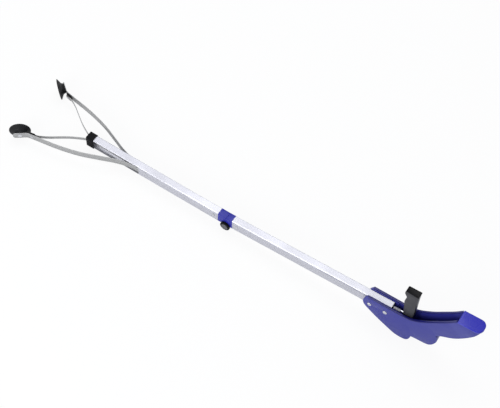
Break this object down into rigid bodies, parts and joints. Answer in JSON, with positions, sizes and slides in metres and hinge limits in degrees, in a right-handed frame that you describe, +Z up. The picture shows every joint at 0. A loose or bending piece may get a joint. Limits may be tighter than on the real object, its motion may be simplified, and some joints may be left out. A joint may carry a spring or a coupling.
{
  "type": "folding reacher",
  "caption": "Folding hand reacher: slim two-part aluminium shaft, hooked handle with squeeze trigger, and sprung steel jaws with rubber cups.",
  "frame": {"origin": "middle of the whole length and width, on the surface that it lies on", "axes": "+X along the shaft from the jaws to the handle, +Y across, +Z up, with the trigger standing up"},
  "size_m": [0.7988, 0.1308, 0.1328],
  "materials": {
    "blue_plastic": "moulded, semi-gloss royal blue",
    "aluminium": "satin anodised, drawn lengthwise",
    "trigger_plastic": "black, fine grain",
    "black_plastic": "black, moulded",
    "grey_plastic": "dark grey, moulded",
    "cup_rubber": "black, soft sheen",
    "spring_steel": "rolled strip, bright",
    "cable_steel": "stranded wire",
    "bright_steel": "nickel plated"
  },
  "bodies": {
    "handle": {"handle_shell": "blue_plastic", "end_cap": "blue_plastic", "handle_rivets": "bright_steel", "rear_shaft": "aluminium", "shaft_guide": "black_plastic", "rear_hinge_block": "blue_plastic", "rear_block_rivet": "bright_steel", "hinge_pin": "bright_steel", "button_bezel": "black_plastic", "button_spring": "bright_steel", "trigger_pin": "bright_steel", "trigger_spring": "bright_steel"},
    "trigger": {"trigger": "trigger_plastic", "anchor_pin": "bright_steel"},
    "rear_pull": {"rear_cable": "cable_steel", "cable_clevis": "cable_steel"},
    "release_button": {"release_button": "grey_plastic"},
    "front": {"front_shaft": "aluminium", "front_hinge_block": "blue_plastic", "front_block_rivet": "bright_steel", "nose_cap": "black_plastic", "root_block": "black_plastic", "root_rivets": "bright_steel", "band_root_near": "spring_steel", "band_root_far": "spring_steel", "cable_link": "cable_steel"},
    "front_pull": {"front_cable": "cable_steel", "cable_crimp": "cable_steel", "pull_slider": "black_plastic", "slider_rivet": "bright_steel", "inner_tail_near": "spring_steel", "inner_tail_far": "spring_steel"},
    "jaw_near": {"outer_band_near": "spring_steel", "inner_band_near": "spring_steel", "tip_pad_near": "black_plastic", "tip_rivet_near": "bright_steel", "cup_near": "cup_rubber", "cup_rivet_near": "bright_steel"},
    "jaw_far": {"outer_band_far": "spring_steel", "inner_band_far": "spring_steel", "tip_pad_far": "black_plastic", "tip_rivet_far": "bright_steel", "cup_far": "cup_rubber", "cup_rivet_far": "bright_steel"}
  },
  "joints": [
    {"name": "trigger_squeeze", "type": "hinge", "parent": "handle", "child": "trigger", "pos_m": [0.29627, 0, 0.04655], "axis": [0, 1, 0], "range_deg": [0, 42], "stiffness_Nm_per_rad": 0.35, "springref_deg": -11.46},
    {"name": "rear_cable_slide", "type": "slide", "parent": "handle", "child": "rear_pull", "axis": [0.9936, 0, 0.1133], "range_m": [0, 0.006], "deforming": ["trigger_spring", "cable_link"]},
    {"name": "button_press", "type": "slide", "parent": "handle", "child": "release_button", "axis": [0, 1, 0], "range_m": [0, 0.0018], "stiffness_N_per_m": 600, "springref_m": -0.0006, "deforming": ["button_spring"]},
    {"name": "fold", "type": "hinge", "parent": "handle", "child": "front", "pos_m": [-0.01767, 0, 0.01432], "axis": [0, -1, 0], "range_deg": [0, 170], "deforming": ["cable_link"]},
    {"name": "front_cable_slide", "type": "slide", "parent": "front", "child": "front_pull", "axis": [0.9998, 0, 0.0175], "range_m": [0, 0.006], "deforming": ["cable_link"]},
    {"name": "jaw_near_close", "type": "hinge", "parent": "front", "child": "jaw_near", "pos_m": [-0.19381, -0.0043, 0.02074], "axis": [0.0175, 0, -0.9998], "range_deg": [0, 12.2], "deforming": ["inner_band_near"]},
    {"name": "jaw_far_close", "type": "hinge", "parent": "front", "child": "jaw_far", "pos_m": [-0.19381, 0.0043, 0.02074], "axis": [-0.0175, 0, 0.9998], "range_deg": [0, 12.2], "deforming": ["inner_band_far"]}
  ],
  "couplings": [
    {"joint": "rear_cable_slide", "follows": "trigger_squeeze", "m_per_rad": 0.0081769},
    {"joint": "front_cable_slide", "follows": "trigger_squeeze", "m_per_rad": 0.0081769},
    {"joint": "jaw_near_close", "follows": "trigger_squeeze", "ratio": 0.29019},
    {"joint": "jaw_far_close", "follows": "trigger_squeeze", "ratio": 0.29019}
  ]
}
